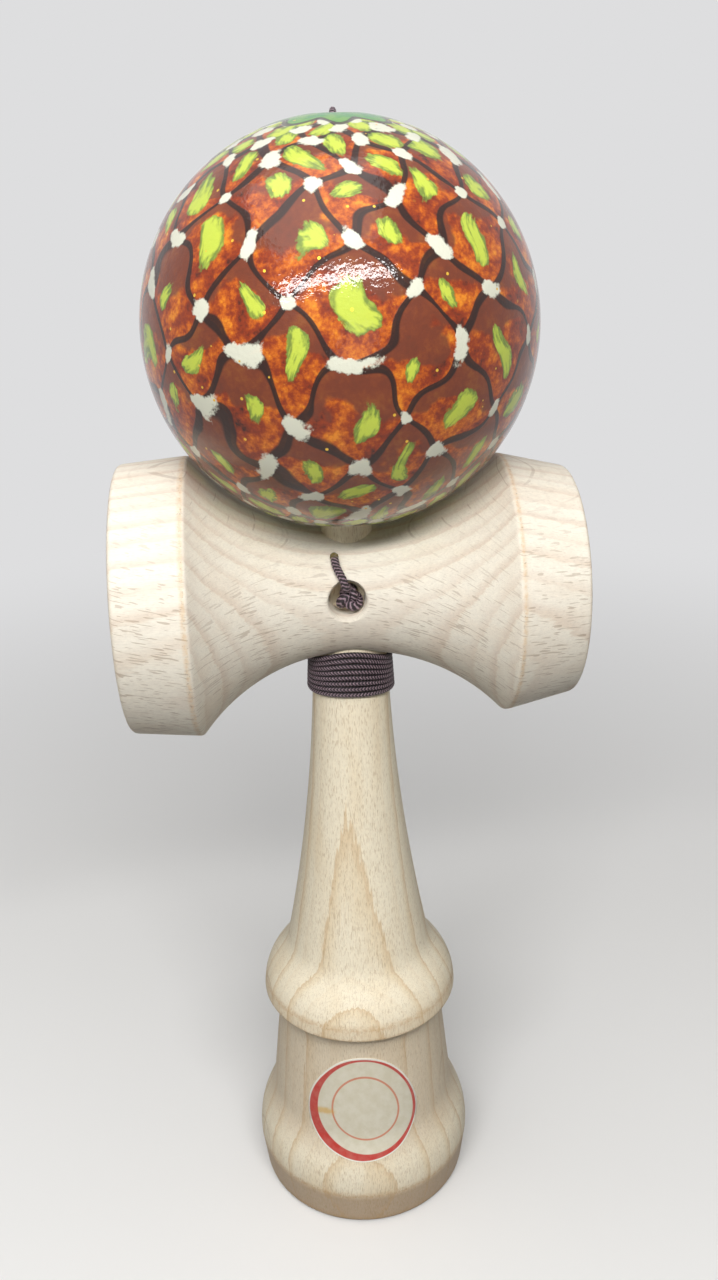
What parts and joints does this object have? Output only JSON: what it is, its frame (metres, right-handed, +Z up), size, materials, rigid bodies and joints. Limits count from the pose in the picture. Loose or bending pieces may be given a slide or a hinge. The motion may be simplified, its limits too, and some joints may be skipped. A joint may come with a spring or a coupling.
{
  "type": "kendama",
  "caption": "Wooden kendama: turned handle with spike and foot cup, cross-set cup piece, and a lacquered drilled ball parked on the spike, tied by a wound string.",
  "frame": {"origin": "centre of the foot, in the plane that it stands on", "axes": "+Z up the spike, +X along the cup piece towards the small cup, -Y the front with the knot and the label"},
  "size_m": [0.0724, 0.0612, 0.1949],
  "materials": {
    "beech": "turned and sanded, thin matt seal",
    "beech_cross": "turned and sanded, thin matt seal",
    "label": "printed film sticker",
    "string": "braided nylon",
    "bead": "plain turned",
    "ball_lacquer": "painted under gloss clear lacquer"
  },
  "bodies": {
    "ken": {"ken": "beech", "crosspiece": "beech_cross", "blank_label": "label", "string_tail": "string", "string_stop_knot": "string", "string_lead": "string", "string_winding": "string", "string_riser": "string"},
    "tether": {"string_ball_run": "string", "bead": "bead", "string_end_knot": "string"},
    "ball": {"ball": "ball_lacquer"}
  },
  "joints": [
    {"name": "ball_lift", "type": "slide", "parent": "ken", "child": "tether", "axis": [0, 0, 1], "range_m": [0, 0.035], "deforming": ["string_riser"]},
    {"name": "ball_spin", "type": "hinge", "parent": "tether", "child": "ball", "pos_m": [0, 0, 0.164], "axis": [0, 0, 1], "continuous": true}
  ]
}
